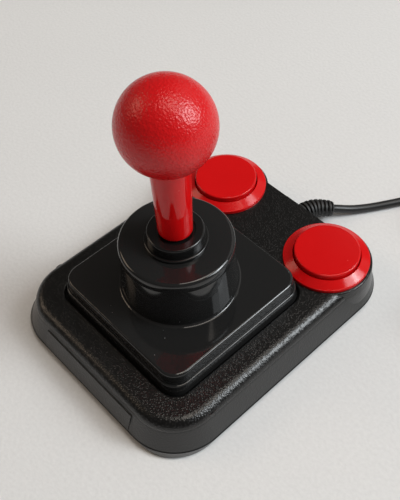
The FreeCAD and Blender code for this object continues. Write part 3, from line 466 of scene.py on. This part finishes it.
def finish_piece(name, work, body, material, nodes, sharp=35):
    """Turns a bmesh into a piece that stands for its solids and, given a body, rides on it.
    Edges that turn by more than so many degrees stay sharp."""
    mesh = bpy.data.meshes.new(name)
    bmesh.ops.remove_doubles(work, verts=work.verts, dist=1e-7)
    bmesh.ops.recalc_face_normals(work, faces=work.faces)
    work.to_mesh(mesh)
    work.free()
    mesh.shade_smooth()
    mesh.set_sharp_from_angle(angle=math.radians(sharp))
    mesh.materials.append(material)
    piece = bpy.data.objects.new(name, mesh)
    scene.collection.objects.link(piece)
    if body:
        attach(piece, body)
    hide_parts(*nodes)
    return piece


# Boot
RIBS = 9
RIB_PITCH = 1.72 * MM
RIB_LENGTH = 0.96 * MM
RIB_RADIUS = 3.75 * MM
RIB_SWELL = 0.35 * MM
RIB_TAPER = 0.05 * MM
RIB_ROUNDING = 0.14 * MM
RIB_EDGE_DROP = 0.13 * MM
SLOT_START = 1.00 * MM
SLOT_END = 1.66 * MM
SLOT_DEPTH = 1.0 * MM
# Half the height of the webs between the slots, as a share of the radius
WEB_SHARE = 0.42
BOOT_ROOT = (-0.2 * MM, 2.6 * MM, 0)
# Past the last rib: distance and radius
BOOT_NOSE = ((0, 3.1 * MM), (0.5 * MM, 2.9 * MM), (0.8 * MM, 2.4 * MM), (0.85 * MM, 1.7 * MM))


def point_on(path, distance):
    for start, end in zip(path, path[1:]):
        run = (end - start).length
        if distance <= run:
            return start.lerp(end, distance / run), (end - start).normalized()
        distance -= run
    raise ValueError("past the end of the lead")


def boot_stations():
    """Distance from the wall, radius and depth of the slots there."""
    stations = [BOOT_ROOT]
    for rib in range(RIBS):
        crest = RIB_RADIUS + RIB_SWELL * math.sin(math.pi * rib / RIBS) - RIB_TAPER * rib
        edge = crest - RIB_EDGE_DROP
        foot = rib * RIB_PITCH
        stations += [
            (foot, edge, 0),
            (foot + RIB_ROUNDING, crest, 0),
            (foot + RIB_LENGTH - RIB_ROUNDING, crest, 0),
            (foot + RIB_LENGTH, edge, 0),
            (foot + SLOT_START, edge, SLOT_DEPTH),
            (foot + SLOT_END, edge, SLOT_DEPTH),
        ]
    return stations + [(RIBS * RIB_PITCH + distance, radius, 0) for distance, radius in BOOT_NOSE]


def make_boot():
    """A sleeve that follows the lead out of the back wall, slotted above and below between two side webs."""
    work = bmesh.new()
    wall = EXIT[1] - lead_path[0].y
    loops = []
    for distance, radius, depth in boot_stations():
        place, heading = point_on(lead_path, wall + distance)
        spot = Matrix.Translation(place) @ heading.to_track_quat("Z", "Y").to_matrix().to_4x4()
        made = bmesh.ops.create_circle(work, segments=64, radius=radius, matrix=spot)
        to_spot = spot.inverted()
        slotted = [vertex for vertex in made["verts"] if abs((to_spot @ vertex.co).y) > WEB_SHARE * radius]
        shrink = 1 - depth / radius
        bmesh.ops.scale(work, vec=(shrink, shrink, 1), space=to_spot, verts=slotted)
        loops.append({edge for vertex in made["verts"] for edge in vertex.link_edges})
    for first, second in zip(loops, loops[1:]):
        bmesh.ops.bridge_loops(work, edges=list(first | second))
    return finish_piece("exit_boot", work, "case", rubber, ["strain_relief"], sharp=40)


boot = make_boot()


# Lid and grommet: radii and heights in millimetres
STICK = Vector((0, -0.011, 0))
COLLAR_TOP = 43.3
LID_TOP = 46.0
LID_FOOT = 41.8
LID_RADIUS = 20.3
LID_HOLE = 9.45
LID_ROUNDING = 1.5
LID_FOOT_ROUNDING = 0.2
RIM_INSIDE = 19.98
SPIGOT_INSIDE = 15.65
SPIGOT_RADIUS = 17.15
SPIGOT_FOOT = 41.6
RING_RADIUS = 11.25
RING_TOP = 47.1
RING_ROUNDING = 0.55
NECK_RADIUS = 9.4
FLANGE_RADIUS = 11.0
FLANGE_FOOT = 42.95
CONE_RADIUS = 9.8
GROMMET_FOOT_RADIUS = 10.3
GROMMET_TOP_RADIUS = 9.9
GROMMET_TOP = 51.0
GROMMET_ROUNDING = 0.6
CUP_RADIUS = 7.0
CUP_FLOOR = 50.4
BORE_TOP_RADIUS = 4.6
BORE_FOOT_RADIUS = 5.5
BORE_FOOT = 42.2
WAIST_RADIUS = 4.15
WAIST_HEIGHT = 48.5


def turned(section):
    """A closed section of radii and heights, turned round the stick."""
    work = bmesh.new()
    points = [work.verts.new(STICK + Vector((radius, 0, height)) * MM) for radius, height in section]
    lines = [work.edges.new(pair) for pair in zip(points, points[1:] + points[:1])]
    bmesh.ops.spin(work, geom=points + lines, cent=STICK, axis=(0, 0, 1), angle=2 * math.pi, steps=128,
                   use_merge=True)
    return work


def round_off(work, radius, height, rounding):
    """Rounds the edge of a turned mesh that lies on one circle round the stick."""
    def lies_on(vertex):
        reach = vertex.co - STICK
        off_circle = abs(math.hypot(reach.x, reach.y) - radius * MM)
        return off_circle < 1e-6 and abs(reach.z - height * MM) < 1e-6

    edges = [edge for edge in work.edges if all(lies_on(vertex) for vertex in edge.verts)]
    bmesh.ops.bevel(work, geom=edges, offset=rounding * MM, offset_type="OFFSET", segments=6, profile=0.5,
                    affect="EDGES", material=-1)


def make_lid():
    """The collar's lid, whose rounded rim reaches down over the collar and whose spigot sits inside it."""
    work = turned([
        (LID_HOLE, COLLAR_TOP),
        (SPIGOT_INSIDE, COLLAR_TOP), (SPIGOT_INSIDE, SPIGOT_FOOT),
        (SPIGOT_RADIUS, SPIGOT_FOOT), (SPIGOT_RADIUS, COLLAR_TOP),
        (RIM_INSIDE, COLLAR_TOP), (RIM_INSIDE, LID_FOOT),
        (LID_RADIUS, LID_FOOT), (LID_RADIUS, LID_TOP),
        (LID_HOLE, LID_TOP),
    ])
    round_off(work, LID_RADIUS, LID_TOP, LID_ROUNDING)
    round_off(work, LID_RADIUS, LID_FOOT, LID_FOOT_ROUNDING)
    finish_piece("collar_lid", work, "case", polish, ["collar_cap"])


def make_grommet():
    """Rubber held in the lid. Its bore is waisted and its underside rises outwards, to leave the shaft and
    its washer room."""
    work = turned([
        (BORE_FOOT_RADIUS, BORE_FOOT), (CONE_RADIUS, FLANGE_FOOT),
        (FLANGE_RADIUS, FLANGE_FOOT), (FLANGE_RADIUS, COLLAR_TOP),
        (NECK_RADIUS, COLLAR_TOP), (NECK_RADIUS, LID_TOP),
        (RING_RADIUS, LID_TOP), (RING_RADIUS, RING_TOP),
        (GROMMET_FOOT_RADIUS, RING_TOP), (GROMMET_TOP_RADIUS, GROMMET_TOP),
        (CUP_RADIUS, GROMMET_TOP), (CUP_RADIUS, CUP_FLOOR),
        (BORE_TOP_RADIUS, CUP_FLOOR), (WAIST_RADIUS, WAIST_HEIGHT),
    ])
    round_off(work, RING_RADIUS, RING_TOP, RING_ROUNDING)
    round_off(work, GROMMET_TOP_RADIUS, GROMMET_TOP, GROMMET_ROUNDING)
    grommet = finish_piece("leaning_grommet", work, None, seal_rubber(), ["centring_grommet"])
    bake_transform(grommet)


make_lid()
make_grommet()


# Springs and leaves
# How far out a leaf would have to reach to follow its button all the way
LEAF_REACH = {"moving": 33.0 * MM, "fixed": 60.0 * MM}


def solid_copy(node):
    work = bmesh.new()
    work.from_mesh(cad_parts[node].data)
    work.transform(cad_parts[node].matrix_world)
    return work


def make_contacts(side):
    """Copies of the button's spring, riding on the case, and of both its leaves."""
    solid = f"button_spring_{side}"
    spring = finish_piece(f"return_spring_{side}", solid_copy(solid), "case", steel, [solid])
    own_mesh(spring)
    for kind, reach in LEAF_REACH.items():
        leaf = f"{kind}_leaf_{side}"
        strip = finish_piece(f"{kind}_strip_{side}", solid_copy(leaf), None, brass, [leaf])
        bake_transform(strip)


make_contacts("left")
make_contacts("right")
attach(lead, "case")
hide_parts("cord", "cord_coil", "cord_tail")


# Table
TABLE_HALF = 6


def make_table():
    work = bmesh.new()
    bmesh.ops.create_grid(work, x_segments=1, y_segments=1, size=TABLE_HALF)
    mesh = bpy.data.meshes.new("table")
    work.to_mesh(mesh)
    work.free()
    mesh.materials.append(pale_table())
    table = bpy.data.objects.new("table", mesh)
    scene.collection.objects.link(table)


make_table()
